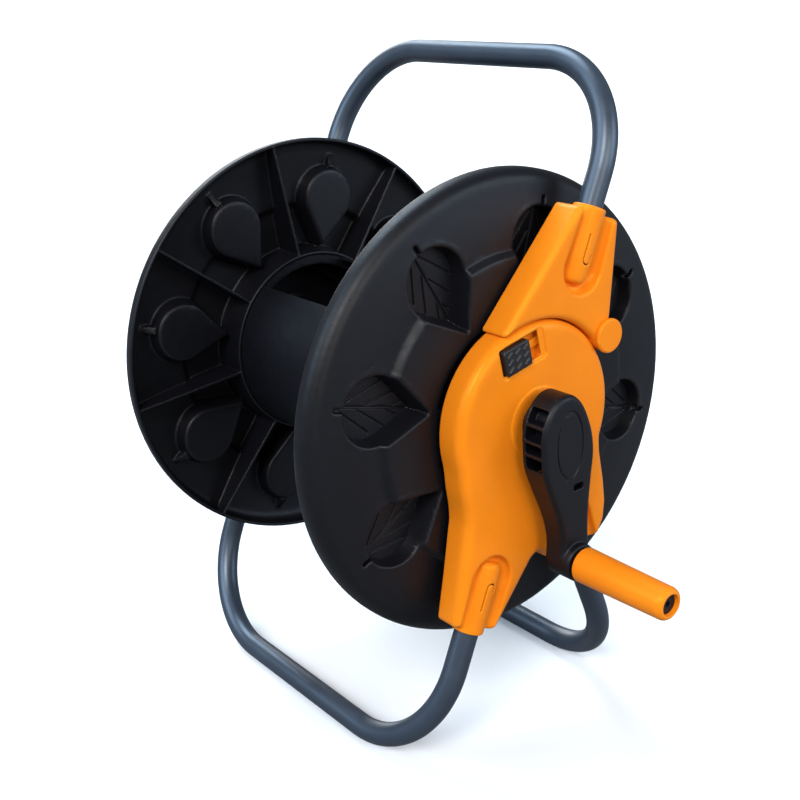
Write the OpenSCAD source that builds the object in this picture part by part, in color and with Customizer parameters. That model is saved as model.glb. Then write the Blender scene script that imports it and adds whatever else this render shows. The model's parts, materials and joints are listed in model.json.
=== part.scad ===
// Portable garden hose reel: a drum with two flanges turns between two moulded side
// frames on tubular foot bows. A crank winds it, water enters through the rear axle,
// and the carrying handle folds down beside the drum.
// Millimetres, +Z up, drum axis along Y, crank at the front (-Y).
// Origin: on the floor, at the centre of the whole reel's footprint box.

/* [Drum] */
// Outside diameter of both flanges
flange_d = 380; // [372:2:386]
// Distance between the rim planes of the two flanges
drum_w = 280; // [240:5:320]
// Outside diameter of the winding barrel
barrel_d = 167; // [165:1:167]
// Moulded wall thickness of the flanges
wall = 3; // [2.5:0.1:3.2]
// Leaf-shaped recesses in each flange
leaf_count = 8; // [6:1:8]
// Angle of the first leaf, seen from the crank side
leaf_phase = 31; // [25:1:35]

/* [Frame] */
// Outside diameter of the steel tube
tube_d = 20; // [19:0.5:20]
// Wall of the steel tube
tube_wall = 1.2; // [1:0.1:2]
// Distance from a flange's rim plane out to the tube's centre
tube_z = 31; // [31:0.5:32]
// Radius from drum axis to the centre of a foot bow's bar
foot_reach = 297; // [290:1:320]
// Angle between each foot and the vertical
foot_tilt = 22.5; // [20:0.5:24]
// Radius from drum axis to the centre of the handle's bar
handle_reach = 283; // [275:1:300]
// Angle of the handle above the horizontal
handle_angle = 67.5; // [66:0.5:69]
// Centreline radius of the tube bends
bend_r = 88; // [70:2:100]
// Radius of the side frame's round body
body_r = 80; // [79:0.5:80]

/* [Crank] */
// Distance between the drum axis and the grip axis
crank_throw = 112; // [105:1:116]
// Angle of the crank, seen from the crank side
crank_angle = -84.4; // [-90:0.2:-80]
// Length of the turning grip
grip_len = 87; // [80:1:95]
// Diameter of the grip at its root
grip_d = 29; // [28:0.5:31]

/* [Water] */
// Radius of the quick-connect spigot on the inlet
inlet_r = 6.4; // [6.2:0.1:6.6]
// Radius of the hose tail inside the barrel
tail_r = 6.3; // [6:0.1:6.5]

/* [Hidden] */
$fn = 96;

orange = "#f08a1c";
black = "#26262a";
tube_grey = "#5c6674";
steel = "#b4b8bc";
rubber = "#151515";

eps = 0.01;
run_gap = 0.06;                 // radial clearance of a running fit
flange_r = flange_d / 2;
barrel_r = barrel_d / 2;
tube_r = tube_d / 2;
fit_r = tube_r + run_gap;

// Heights along the axis, measured outwards from a flange's rim plane
skirt_z = -13;                  // inner end of the flange's rim skirt
collar_z = -22;                 // inner end of the barrel collar
plateau_z = 13.5;               // raised middle of the flange
annulus_z = 5;                  // edge of the domed outer ring
leaf_floor_z = -4.5;            // bottom of a leaf recess
leaf_step_z = 2;                // step in a leaf recess's wall
frame_back_z = 18;
frame_face_z = 42;
skin = 3;
crank_back_z = 47;
arm_back_z = 52;
crank_face_z = 75;
grip_root_z = 82;
inlet_tip_z = 74;

// Drum axis height and the depth of the drum's middle
axis_h = foot_reach * cos(foot_tilt) + tube_r;
grip_tip_z = grip_root_z + grip_len;
mid_y = (grip_tip_z - inlet_tip_z) / 2;

// Handle hinge, in the handle's own radial and sideways directions
hinge_u = 78.6;
hinge_v = -48.6;
knuckle_r = 13;
knuckle_split_z = 30.3;
hinge_pin_r = 4;

// Journal and drive
journal_r = 13;
bush_r = 17;
screw_pcd = 54;
screw_r = 1.9;
bolt_r = 3;
pin_r = 5;

// Barrel windows, centred on the gap between two ribs
window_mid = 98;
window_half = 32;
tail_angle = window_mid + 180;

// Latch slot
latch_r = 62;
latch_angle = 114;
latch_travel = 10;
latch_shift = 1.8;
latch_tilt = 11;
latch_len = 26.4;
latch_wide = 21;

// Places children in a side's own frame: x right, y up, z outwards from the rim plane
module front_side() {
    translate([0, mid_y - drum_w / 2, axis_h]) rotate([90, 0, 0]) children();
}

module rear_side() {
    translate([0, mid_y + drum_w / 2, axis_h]) mirror([0, 1, 0]) rotate([90, 0, 0]) children();
}

// A ring about the side's axis, from z0 to z1
module ring(r_out, r_in, z0, z1) {
    translate([0, 0, z0]) difference() {
        cylinder(r = r_out, h = z1 - z0);
        translate([0, 0, -1]) cylinder(r = r_in, h = z1 - z0 + 2);
    }
}

// A solid 2D slice from z0 to z1
module slab(z0, z1) {
    translate([0, 0, z0]) linear_extrude(z1 - z0) children();
}

// A pie slice from angle a0 to a1, for a1 - a0 under 180
module sector(a0, a1, r) {
    mid = (a0 + a1) / 2;
    far = r / cos((a1 - a0) / 4);
    polygon([[0, 0], r * [cos(a0), sin(a0)], far * [cos((a0 + mid) / 2), sin((a0 + mid) / 2)],
        far * [cos((a1 + mid) / 2), sin((a1 + mid) / 2)], r * [cos(a1), sin(a1)]]);
}

// ---------------------------------------------------------------- flanges

leaf_mid_r = 136;
leaf_r = 28.5;
leaf_tip_r = 86;
slot_r = 68;
slot_depth = 6;

// Leaf outline: a circle, and nearly its tangents from the tip
module leaf_shape(inset) {
    r = leaf_r - inset;
    tip = leaf_mid_r - (leaf_mid_r - leaf_tip_r) * r / leaf_r;
    touch = acos(r / (leaf_mid_r - tip));
    shoulder = 0.985 * r * [-cos(touch), sin(touch)];
    translate([leaf_mid_r, 0]) {
        circle(r = r);
        polygon([[tip - leaf_mid_r, 0], [shoulder.x, -shoulder.y], [0, 0], shoulder]);
    }
}

module each_leaf() {
    for (i = [0 : leaf_count - 1]) rotate(leaf_phase + i * 360 / leaf_count) children();
}

module each_rib() {
    for (i = [0 : leaf_count - 1]) rotate(leaf_phase + (i + 0.5) * 360 / leaf_count) children();
}

// Outer face of the disc as radius and height, inset by the wall for its inner face
function face_points(t) = [
    [flange_r - t, skirt_z],
    [flange_r - t, -4],
    for (a = [15 : 15 : 75]) [flange_r - 9 + (9 - t) * cos(a), -4 + (9 - t) * sin(a)],
    [flange_r - 9, annulus_z - t],
    [flange_r - 16, annulus_z + 1 - t],
    [130, annulus_z + 4.6 - t],
    [124.5, plateau_z - t],
    [40, plateau_z - t],
];

// Everything of the flange below its outer face
module under_face() {
    rotate_extrude($fn = 128) polygon([[0, skirt_z], each face_points(0.4), [0, plateau_z - 0.4]]);
}

// The disc in section, with its thicker middle and rim skirt
module flange_disc() {
    inner = face_points(wall);
    rotate_extrude($fn = 128) polygon([
        each face_points(0),
        [journal_r + 0.3, plateau_z],
        [journal_r + 0.3, plateau_z - 5],
        [40, plateau_z - 5],
        for (i = [len(inner) - 1 : -1 : 0]) inner[i],
    ]);
}

// Leaf cups on the inner face, narrower below the step in their walls
module leaf_cups() {
    intersection() {
        each_leaf() {
            slab(leaf_floor_z - wall, leaf_step_z - wall + eps) leaf_shape(1.5);
            slab(leaf_step_z - wall, plateau_z) leaf_shape(-2.5);
        }
        difference() {
            under_face();
            cylinder_from(barrel_r + 0.1, skirt_z - 1, plateau_z - wall);
        }
    }
}

module rib_solid() {
    rotate([90, 0, 0]) translate([0, 0, -1.1]) linear_extrude(2.2)
        polygon([[barrel_r + 1, collar_z + 1], [flange_r - 2, skirt_z + 0.5],
            [flange_r - 2, annulus_z - 6], [flange_r - 16, annulus_z - 1],
            [125, plateau_z - 4], [barrel_r + 1, plateau_z - 2]]);
}

// Collar round the barrel shells, and the shelf inside it
module collar() {
    rotate_extrude() polygon([[barrel_r + 0.1, collar_z], [barrel_r + 2.6, collar_z],
        [barrel_r + 5, plateau_z - 2], [barrel_r + 0.1, plateau_z - 2]]);
    ring(barrel_r + 1, 74, collar_z + 1, collar_z + 4);
}

// Recesses in the outer face: leaves with their stems, and blind arc slots in the hub disc
module face_recesses() {
    each_leaf() {
        slab(leaf_floor_z, plateau_z + 1) leaf_shape(4.5);
        slab(leaf_step_z, plateau_z + 1) leaf_shape(0);
        translate([leaf_mid_r + leaf_r - 3, -2.5, annulus_z - 1]) cube([11, 5, 10]);
    }
    for (a = [45 : 90 : 315]) slab(plateau_z - slot_depth, plateau_z + 1) difference() {
        intersection() {
            circle(r = slot_r + 11.5);
            sector(a - 29, a + 29, 120);
        }
        circle(r = slot_r);
    }
}

// Room for the barrel shells in the shelf
module shell_slots() {
    for (side = [0, 180]) slab(collar_z - 1, collar_z + 5) difference() {
        intersection() {
            circle(r = barrel_r + 0.15);
            sector_wide(window_mid + 90 + side, 90 - window_half + 0.2);
        }
        circle(r = barrel_r - wall - 0.15);
    }
}

module flange() {
    difference() {
        union() {
            flange_disc();
            leaf_cups();
            each_rib() rib_solid();
            collar();
            ring(slot_r + 12.3, slot_r - 1.5, plateau_z - slot_depth - 1.5, plateau_z - 2);
        }
        face_recesses();
        shell_slots();
        for (a = [45 : 90 : 315]) rotate(a) translate([screw_pcd / 2, 0, 0])
            cylinder(r = screw_r, h = plateau_z - 1);
    }
}

// A sector given by its middle angle and half width, up to 120 degrees wide
module sector_wide(mid, half) {
    sector(mid - half, mid, 130);
    sector(mid, mid + half, 130);
}

module front_flange() {
    color(black) front_side() flange();
}

module rear_flange() {
    color(black) rear_side() flange();
}

// ---------------------------------------------------------------- barrel

// One of the two curved barrel shells, between the hub discs of the flanges
module barrel_shell(mid_angle) {
    half_len = drum_w / 2 + plateau_z - wall - eps;
    color(black) translate([0, mid_y, axis_h]) rotate([90, 0, 0]) difference() {
        translate([0, 0, -half_len]) linear_extrude(2 * half_len) difference() {
            intersection() {
                circle(r = barrel_r);
                sector_wide(mid_angle, 90 - window_half);
            }
            circle(r = barrel_r - wall);
        }
    }
}

module left_barrel_shell() {
    barrel_shell(window_mid + 90);
}

module right_barrel_shell() {
    barrel_shell(window_mid - 90);
}

// ---------------------------------------------------------------- tubes

// U-shaped tube in the plane of the axis: legs from r0 out to the bar at reach
module bow_solid(r0, reach, r) {
    leg_y = drum_w / 2 + tube_z;
    for (side = [-1, 1]) {
        translate([r0, side * leg_y, 0]) rotate([0, 90, 0]) cylinder(r = r, h = reach - bend_r - r0);
        translate([reach - bend_r, side * (leg_y - bend_r), 0]) mirror([0, side < 0 ? 1 : 0, 0])
            rotate_extrude(angle = 90) translate([bend_r, 0]) circle(r = r);
    }
    translate([reach, bend_r - leg_y, 0]) rotate([-90, 0, 0]) cylinder(r = r, h = 2 * (leg_y - bend_r));
}

// Turned so that its legs point along the given angle
module bow(angle, r0, reach) {
    color(tube_grey) translate([0, mid_y, axis_h]) rotate([0, -angle, 0]) difference() {
        bow_solid(r0, reach, tube_r);
        bow_solid(r0 - 1, reach, tube_r - tube_wall);
    }
}

socket_r0 = 112;

module left_foot_bow() {
    bow(-90 - foot_tilt, socket_r0, foot_reach);
}

module right_foot_bow() {
    bow(foot_tilt - 90, socket_r0 - 18, foot_reach);
}

module handle_bow() {
    bow(handle_angle, socket_r0, handle_reach);
}

// ---------------------------------------------------------------- side frames

leg_end = 172;
right_end = -122;
pocket_half = 16.5;
bulge_r = 13;
pocket_z = 34;

// Left leg, drawn along +x, outer side towards +y
module left_leg(g) {
    mirror([1, 0]) rotate(foot_tilt - 90)
        polygon([[leg_end - g, 22 - g], [133, 30.5 - g], [100, 38.5 - g], [60, 47.5 - g], [20, 20],
            [60, -20], [104.4 - g, g - 43.2], [leg_end - g, g - 23]]);
}

// Shorter right leg with its level lower edge
module right_leg(g) {
    polygon([[0, g - 113], [17, right_end + g - 3], [74 - g, right_end + g], [81 - g, -108],
        [82.5 - g, -92], [80 - g, -72], [72.5 - g, -35], [20, 0]]);
}

module frame_outline(g) {
    circle(r = body_r - g);
    left_leg(g);
    right_leg(g);
}

// Position of the handle hinge in the side's own frame
module at_hinge() {
    rotate(handle_angle) translate([hinge_u, hinge_v]) children();
}

// U-shaped pocket round a tube socket, drawn along +x from its round end
module pocket_shape(r0, r1, half) {
    translate([r0 + half, 0]) circle(r = half);
    translate([r0 + half, -half]) square([r1 - r0 - half, 2 * half]);
}

// Walls and floor of the pocket, then the socket that stands in it
module socket_solid(r0, r1) {
    intersection() {
        slab(pocket_z - skin, frame_face_z) pocket_shape(r0 - skin, r1, pocket_half + skin);
        children();
    }
    translate([r0 + 6, 0, tube_z]) rotate([0, 90, 0]) cylinder(r = bulge_r, h = r1 - r0 - 6);
}

module socket_cut(r0, r1, bore_r0) {
    difference() {
        slab(pocket_z, frame_face_z + 5) pocket_shape(r0, r1 + 5, pocket_half);
        translate([r0 + 6, 0, tube_z]) rotate([0, 90, 0]) cylinder(r = bulge_r, h = r1 - r0);
    }
    translate([bore_r0, 0, tube_z]) rotate([0, 90, 0]) cylinder(r = fit_r, h = r1);
    // slit round the snap tongue
    translate([r0 + 20, -3.5, tube_z + 8]) cube([24, 1, 8]);
    translate([r0 + 20, -3.5, tube_z + 8]) cube([1, 7, 8]);
    translate([r0 + 20, 2.5, tube_z + 8]) cube([6, 1, 8]);
}

module left_socket_frame() {
    rotate(-90 - foot_tilt) children();
}

module right_socket_frame() {
    rotate(foot_tilt - 90) children();
}

left_r0 = 106;
right_r0 = 88;
right_r1 = 150;

module side_frame_shell() {
    difference() {
        union() {
            difference() {
                slab(frame_back_z, frame_face_z) frame_outline(0);
                slab(frame_back_z - 1, frame_face_z - skin) frame_outline(skin);
            }
            // hinge ear behind the handle bracket
            slab(frame_back_z, knuckle_split_z - 0.3) {
                at_hinge() circle(r = knuckle_r - 0.5);
                difference() {
                    rotate(36) translate([62, -6]) square([28, 12]);
                    circle(r = 60);
                }
            }
            // boss for the axle and ribs out to the rim
            cylinder_from(24, frame_back_z, frame_face_z);
            for (a = [30 : 60 : 330]) rotate(a) translate([20, -1.2, frame_back_z + 3])
                cube([body_r - 22, 2.4, frame_face_z - frame_back_z - 4]);
            intersection() {
                slab(frame_back_z, frame_face_z + 2) frame_outline(0);
                union() {
                    left_socket_frame() socket_solid(left_r0, leg_end)
                        slab(frame_back_z, frame_face_z) square(800, center = true);
                    right_socket_frame() socket_solid(right_r0, right_r1)
                        slab(frame_back_z, frame_face_z) square(800, center = true);
                }
            }
        }
        left_socket_frame() socket_cut(left_r0, leg_end, socket_r0);
        right_socket_frame() socket_cut(right_r0, right_r1, socket_r0 - 18);
        // room for the bracket's knuckle
        slab(knuckle_split_z - 0.3, frame_face_z + 5) at_hinge() circle(r = knuckle_r + 0.6);
        slab(frame_back_z - 1, frame_face_z + 5) at_hinge() circle(r = hinge_pin_r + eps);
    }
}

module cylinder_from(r, z0, z1) {
    translate([0, 0, z0]) cylinder(r = r, h = z1 - z0);
}

// Frame of the latch: x along the slide, y outwards from the drum axis
module at_latch() {
    rotate(latch_angle) translate([latch_r, -latch_shift, 0]) rotate(-90 - latch_tilt) children();
}

module latch_slot() {
    at_latch() {
        translate([-latch_len / 2 - 0.5, -latch_wide / 2 - 0.4, frame_back_z])
            cube([latch_len + latch_travel + 1, latch_wide + 0.8, 40]);
        translate([-latch_len / 2 - 1, -latch_wide / 2 - 1.5, frame_face_z - 1])
            cube([latch_len + latch_travel + 3, latch_wide + 3, 5]);
    }
}

module front_side_frame() {
    color(orange) front_side() difference() {
        union() {
            side_frame_shell();
            ring(36, 33, frame_face_z - 1, frame_face_z + 1);
        }
        latch_slot();
        at_latch() translate([-latch_len / 2 - 3, -latch_wide / 2 - 3, frame_back_z])
            cube([latch_len + latch_travel + 6, latch_wide + 4, frame_face_z - skin - frame_back_z + eps]);
        cylinder_from(bush_r + eps, frame_back_z - 1, frame_face_z + 5);
    }
}

module rear_side_frame() {
    color(orange) rear_side() difference() {
        side_frame_shell();
        cylinder_from(journal_r + 0.1, frame_back_z - 1, frame_face_z + 5);
        for (a = [45 : 90 : 315]) rotate(a) translate([18.5, 0, frame_face_z - 12])
            cylinder(r = screw_r, h = 20);
    }
}

// ---------------------------------------------------------------- handle brackets

bracket_end = 166;
bracket_r0 = 106;

module bracket_outline(g) {
    difference() {
        rotate(handle_angle) polygon([[bracket_end - g, 22 - g], [57 + g, 61.4 - g], [30, 40],
            [55, -44], [hinge_u + 4, hinge_v + 2 + g], [94, g - 47], [bracket_end - g, g - 24.5]]);
        circle(r = body_r + 0.8 + g);
    }
}

module handle_bracket() {
    back_z = frame_back_z - 1.5;
    difference() {
        union() {
            difference() {
                slab(back_z, frame_face_z + 1) bracket_outline(0);
                slab(back_z - 1, frame_face_z + 1 - skin) bracket_outline(skin);
            }
            slab(knuckle_split_z, frame_face_z + 1) at_hinge() circle(r = knuckle_r);
            intersection() {
                slab(back_z, frame_face_z + 2) bracket_outline(0);
                rotate(handle_angle) socket_solid(bracket_r0, bracket_end)
                    slab(frame_back_z, frame_face_z) square(800, center = true);
            }
        }
        rotate(handle_angle) socket_cut(bracket_r0, bracket_end, socket_r0);
        slab(back_z - 1, knuckle_split_z) at_hinge() circle(r = knuckle_r + 0.6);
        slab(back_z - 1, frame_face_z + 5) at_hinge() circle(r = hinge_pin_r + run_gap);
    }
}

module front_handle_bracket() {
    color(orange) front_side() handle_bracket();
}

module rear_handle_bracket() {
    color(orange) rear_side() handle_bracket();
}

module hinge_pin() {
    at_hinge() cylinder_from(hinge_pin_r, frame_back_z, frame_face_z + 1.2);
}

module hinge_cap() {
    translate([0, 0, frame_face_z + 1.2]) at_hinge() {
        cylinder(r = 14, h = 2.6);
        translate([0, 0, 2.6]) cylinder(r1 = 14, r2 = 12.8, h = 1.2);
    }
}

module front_hinge_pin() {
    color(steel) front_side() hinge_pin();
}

module rear_hinge_pin() {
    color(steel) rear_side() hinge_pin();
}

module front_hinge_cap() {
    color(orange) front_side() hinge_cap();
}

module rear_hinge_cap() {
    color(orange) rear_side() hinge_cap();
}

// Sliding button: finger pad, guide through the slot and a foot behind the skin
module latch_slider() {
    color(black) front_side() at_latch() {
        translate([-latch_len / 2, -latch_wide / 2, frame_face_z - skin - 3])
            cube([latch_len, latch_wide, skin + 6]);
        translate([-latch_len / 2 - 2, -latch_wide / 2 - 2, frame_face_z - skin - 3])
            cube([latch_len + 4, latch_wide + 2, 2.7]);
        for (i = [-1 : 1], j = [-1 : 1]) translate([i * 8, j * 5.4, frame_face_z + 3])
            for (side = [-1, 1]) mirror([side < 0 ? 1 : 0, 0, 0]) translate([-0.4, -0.6, -0.5]) rotate(35)
                cube([3, 1, 1]);
    }
}

// ---------------------------------------------------------------- crank side

module front_bearing_bush() {
    color(black) front_side() difference() {
        union() {
            cylinder_from(bush_r, plateau_z + 0.5, crank_back_z - 0.5);
            cylinder_from(bush_r + 4, plateau_z + 0.5, frame_back_z - eps);
        }
        cylinder_from(journal_r + run_gap, 0, crank_face_z);
    }
}

// Journal with a plate screwed inside the front flange and a square drive end
module crank_shaft() {
    color(black) front_side() difference() {
        union() {
            cylinder_from(34, plateau_z - 9.1, plateau_z - 5.1);
            cylinder_from(journal_r, plateau_z - 9.1, crank_back_z);
            translate([-8, -8, crank_back_z - eps]) cube([16, 16, 16]);
        }
        for (a = [45 : 90 : 315]) rotate(a) translate([screw_pcd / 2, 0, 0])
            cylinder(r = screw_r + 0.3, h = plateau_z);
        cylinder_from(bolt_r + 0.2, 0, crank_face_z);
    }
}

module drum_screws() {
    for (a = [45 : 90 : 315]) rotate(a) translate([screw_pcd / 2, 0, 0]) {
        cylinder_from(screw_r - 0.03, plateau_z - 9.2, plateau_z - 1.2);
        difference() {
            cylinder_from(3.8, plateau_z - 11.7, plateau_z - 9.12);
            translate([-2.4, -0.5, plateau_z - 12]) cube([4.8, 1, 1.5]);
            translate([-0.5, -2.4, plateau_z - 12]) cube([1, 4.8, 1.5]);
        }
    }
}

module shaft_screws() {
    color(steel) front_side() drum_screws();
}

// Arm outline: an egg-shaped head that narrows to the grip boss
hub_r = 18;
boss_r = 14;
arm_wall = 2.5;

module arm_outline(g) {
    translate([0.5, 4.4]) circle(r = 25 - g);
    translate([1.2, -12]) circle(r = 27.5 - g);
    rotate(crank_angle) translate([crank_throw, 0]) circle(r = boss_r - g);
    polygon([[g - 24, -27], [g - 16.2, -51], [g - 7, -73], [g - 2.2, -92], [g - 1, -crank_throw],
        [23 - g, -crank_throw], [25.4 - g, -90], [25.2 - g, -75], [26.3 - g, -55], [28 - g, -27]]);
}

module crank_arm() {
    color(black) front_side() difference() {
        union() {
            difference() {
                slab(arm_back_z, crank_face_z) arm_outline(0);
                slab(arm_back_z - 1, crank_face_z - 3) arm_outline(arm_wall);
            }
            // hub with the square drive socket
            cylinder_from(hub_r, crank_back_z, crank_face_z - 1);
            rotate(crank_angle) translate([crank_throw, 0, 0])
                cylinder_from(boss_r + 1.5, arm_back_z - 0.5, 80);
            // web along the arm and ribs across the finger openings
            rotate(crank_angle) translate([12, -1.2, arm_back_z + 2])
                cube([crank_throw - 14, 2.4, crank_face_z - arm_back_z - 3]);
            for (y = [8, -5, -16]) translate([-25, y - 1.3, arm_back_z + 0.5]) cube([16, 2.6, 20]);
        }
        translate([-8.1, -8.1, crank_back_z - 1]) cube([16.2, 16.2, 17.3]);
        cylinder_from(bolt_r - 0.2, crank_back_z, crank_face_z - 3.5);
        rotate(crank_angle) translate([crank_throw, 0, 0]) cylinder_from(pin_r + eps, 0, 90);
        for (y = [[9, 21], [-4, 7], [-15, -6], [-28, -17]])
            translate([-40, y[0], arm_back_z + 2]) cube([22.5, y[1] - y[0], 18]);
        // latch window in the face
        rotate(crank_angle) translate([45, -5, crank_face_z - 4]) cube([6, 11, 10]);
    }
}

// Bolt from inside the barrel that draws the crank onto the shaft
module crank_bolt() {
    color(steel) front_side() difference() {
        union() {
            cylinder_from(bolt_r - 0.22, plateau_z - 9.2, crank_face_z - 4);
            cylinder_from(5.5, plateau_z - 13, plateau_z - 9.11);
        }
        translate([0, 0, plateau_z - 14]) cylinder(r = 2.9, h = 3, $fn = 6);
    }
}

// Axle of the grip: its head keeps the grip on, inside the open end
pin_end_z = grip_tip_z - 8;

module grip_pin() {
    color(black) front_side() rotate(crank_angle) translate([crank_throw, 0, 0]) difference() {
        union() {
            cylinder_from(pin_r, arm_back_z - 1, pin_end_z);
            cylinder_from(8, pin_end_z - 0.7, pin_end_z + 4.5);
            cylinder_from(7.5, arm_back_z - 3.5, arm_back_z - 0.5 - eps);
        }
        translate([0, 0, pin_end_z + 2.5]) cylinder(r = 2.5, h = 4, $fn = 6);
    }
}

module grip_sleeve() {
    r0 = grip_d / 2;
    r1 = r0 - 1.2;
    tip = grip_tip_z;
    color(orange) front_side() rotate(crank_angle) translate([crank_throw, 0, 0]) rotate_extrude()
        polygon([[pin_r + run_gap, grip_root_z], [r0 - 2, grip_root_z], [r0 - 0.6, grip_root_z + 0.6],
            [r0, grip_root_z + 2], [r1, tip - 5],
            for (a = [15 : 15 : 75]) [r1 - 4 + 4 * cos(a), tip - 5 + 5 * sin(a)],
            [r1 - 4, tip], [8.6, tip], [8.6, pin_end_z - 1], [pin_r + run_gap, pin_end_z - 1]]);
}

// ---------------------------------------------------------------- water side

chamber_z = -21;
swivel_end_z = -43.5;
outlet_z = -34;

module rear_thrust_washer() {
    color(black) rear_side() ring(22, journal_r + 0.05, plateau_z + 0.5, frame_back_z - 0.1);
}

// Fixed axle: plate on the frame, journal for the swivel, quick-connect spigot outside
module water_inlet() {
    color(black) rear_side() difference() {
        union() {
            cylinder_from(24, frame_face_z + eps, frame_face_z + 3.5);
            cylinder_from(journal_r, chamber_z + 1, frame_face_z + 3);
            cylinder_from(11, frame_face_z + 3, frame_face_z + 13);
            cylinder_from(8.6, frame_face_z + 12, frame_face_z + 18);
            cylinder_from(7, frame_face_z + 17, frame_face_z + 22);
            cylinder_from(inlet_r, frame_face_z + 21, inlet_tip_z);
        }
        cylinder_from(4.2, chamber_z, inlet_tip_z + 1);
        for (z = [-8, -14]) ring(journal_r + 1, journal_r - 2.8, z - 1.6, z + 1.6);
        for (a = [45 : 90 : 315]) rotate(a) translate([18.5, 0, 0]) cylinder_from(screw_r + 0.3, 30, 60);
    }
}

module inlet_seals() {
    color(rubber) rear_side() for (z = [-8, -14]) translate([0, 0, z]) rotate_extrude()
        translate([journal_r - 1.37, 0]) circle(r = 1.4);
}

module inlet_screws() {
    color(steel) rear_side() for (a = [45 : 90 : 315]) rotate(a) translate([18.5, 0, 0]) {
        cylinder_from(screw_r - 0.03, frame_face_z - 11, frame_face_z + 4);
        difference() {
            cylinder_from(3.8, frame_face_z + 3.52, frame_face_z + 6);
            translate([-2.4, -0.5, frame_face_z + 5]) cube([4.8, 1, 2]);
            translate([-0.5, -2.4, frame_face_z + 5]) cube([1, 4.8, 2]);
        }
    }
}

// Turns with the drum on the inlet's journal and leads the water out sideways
module swivel_body() {
    color(black) rear_side() difference() {
        union() {
            cylinder_from(34, plateau_z - 9.1, plateau_z - 5.1);
            cylinder_from(19, swivel_end_z, plateau_z - 6);
            rotate(tail_angle) translate([0, 0, outlet_z]) rotate([0, 90, 0]) cylinder(r = 9, h = 46);
        }
        cylinder_from(journal_r + run_gap, chamber_z, plateau_z);
        cylinder_from(8, swivel_end_z + 4, chamber_z + 1);
        rotate(tail_angle) translate([0, 0, outlet_z]) rotate([0, 90, 0]) cylinder(r = 4.2, h = 50);
        for (a = [45 : 90 : 315]) rotate(a) translate([screw_pcd / 2, 0, 0])
            cylinder(r = screw_r + 0.3, h = plateau_z);
    }
}

module swivel_screws() {
    color(steel) rear_side() drum_screws();
}

// Spigot for the end of the hose, reached through the barrel's window
module hose_tail() {
    color(black) rear_side() rotate(tail_angle) translate([0, 0, outlet_z])
    rotate([0, 90, 0]) difference() {
        union() {
            cylinder_from(12, 34, 50);
            cylinder_from(tail_r, 49, 72);
        }
        cylinder_from(9.05, 33, 46.1);
        cylinder_from(4, 40, 80);
    }
}

front_side_frame();
rear_side_frame();
left_foot_bow();
right_foot_bow();
front_bearing_bush();
rear_thrust_washer();
water_inlet();
inlet_seals();
inlet_screws();
front_hinge_pin();
rear_hinge_pin();
front_hinge_cap();
rear_hinge_cap();
latch_slider();
handle_bow();
front_handle_bracket();
rear_handle_bracket();
front_flange();
rear_flange();
left_barrel_shell();
right_barrel_shell();
crank_shaft();
shaft_screws();
crank_arm();
crank_bolt();
grip_pin();
grip_sleeve();
swivel_body();
swivel_screws();
hose_tail();
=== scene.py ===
import json
import math

import bpy
import numpy as np
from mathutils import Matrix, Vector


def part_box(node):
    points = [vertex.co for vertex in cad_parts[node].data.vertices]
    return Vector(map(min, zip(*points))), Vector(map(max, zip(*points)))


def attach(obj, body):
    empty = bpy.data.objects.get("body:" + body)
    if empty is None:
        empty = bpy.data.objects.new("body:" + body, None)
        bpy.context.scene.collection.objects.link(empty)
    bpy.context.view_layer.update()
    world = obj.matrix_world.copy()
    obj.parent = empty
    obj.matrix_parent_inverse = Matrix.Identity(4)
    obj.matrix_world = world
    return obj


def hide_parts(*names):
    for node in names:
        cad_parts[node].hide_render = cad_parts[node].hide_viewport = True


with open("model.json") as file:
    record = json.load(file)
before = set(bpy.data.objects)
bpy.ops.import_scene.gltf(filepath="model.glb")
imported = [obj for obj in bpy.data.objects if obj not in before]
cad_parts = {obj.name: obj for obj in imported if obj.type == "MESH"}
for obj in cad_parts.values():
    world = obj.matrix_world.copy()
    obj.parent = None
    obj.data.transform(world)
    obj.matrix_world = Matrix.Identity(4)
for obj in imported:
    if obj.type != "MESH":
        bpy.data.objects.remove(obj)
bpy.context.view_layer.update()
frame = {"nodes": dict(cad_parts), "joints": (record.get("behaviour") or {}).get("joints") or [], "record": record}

import openvdb
from mathutils import Matrix, Vector

# ------------------------------------------------------------------ measures, in millimetres
# Each side has a frame of its own: x right, y up from the drum's axis, z outwards from the flange's
# rim plane. The front side is the crank's.
JOINTS = {j["name"]: j for j in frame["joints"]}
NODES = frame["nodes"]
AXIS_Z = JOINTS["drum_spin"]["pos_m"][2] * 1000
MIDDLE_Y = JOINTS["drum_spin"]["pos_m"][1] * 1000


def joint_at(name):
    """Where a joint's axis crosses a side's own frame."""
    x, _, z = JOINTS[name]["pos_m"]
    return x * 1000, z * 1000 - AXIS_Z


PLATEAU = 13.5  # z of the flange's raised middle
FRONT_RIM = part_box("front_flange")[0].y * 1000 + PLATEAU
REAR_RIM = 2 * MIDDLE_Y - FRONT_RIM
FLANGE_R, BARREL_R = 190, 83.5
LEAVES, LEAF_PHASE = 8, 31  # leaf recesses on a flange, and the angle of the first
HINGE = joint_at("handle_fold")
GRIP = joint_at("grip_spin")
CRANK_ANGLE = math.degrees(math.atan2(GRIP[1], GRIP[0]))
HANDLE_ANGLE = 67.5
LEG_ANGLE = 67.5  # how steeply the legs slope down and outwards
LATCH = (-23.57, 57.37)
SLIDE = JOINTS["latch_slide"]["axis"]
LATCH_ANGLE = math.degrees(math.atan2(SLIDE[2], SLIDE[0]))
TUBE_Z, TUBE_R = 31, 10
BODY_R = 80  # the side frame's round middle
FRAME_BACK, FRAME_FACE = 18, 42
BRACKET_BACK, BRACKET_FACE = 16.5, 43
ARM_FACE = 75
HINGE_PIN_R, GRIP_PIN_R = 4, 5
GAP = 0.06  # around a pin or a tube in its hole


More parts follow.
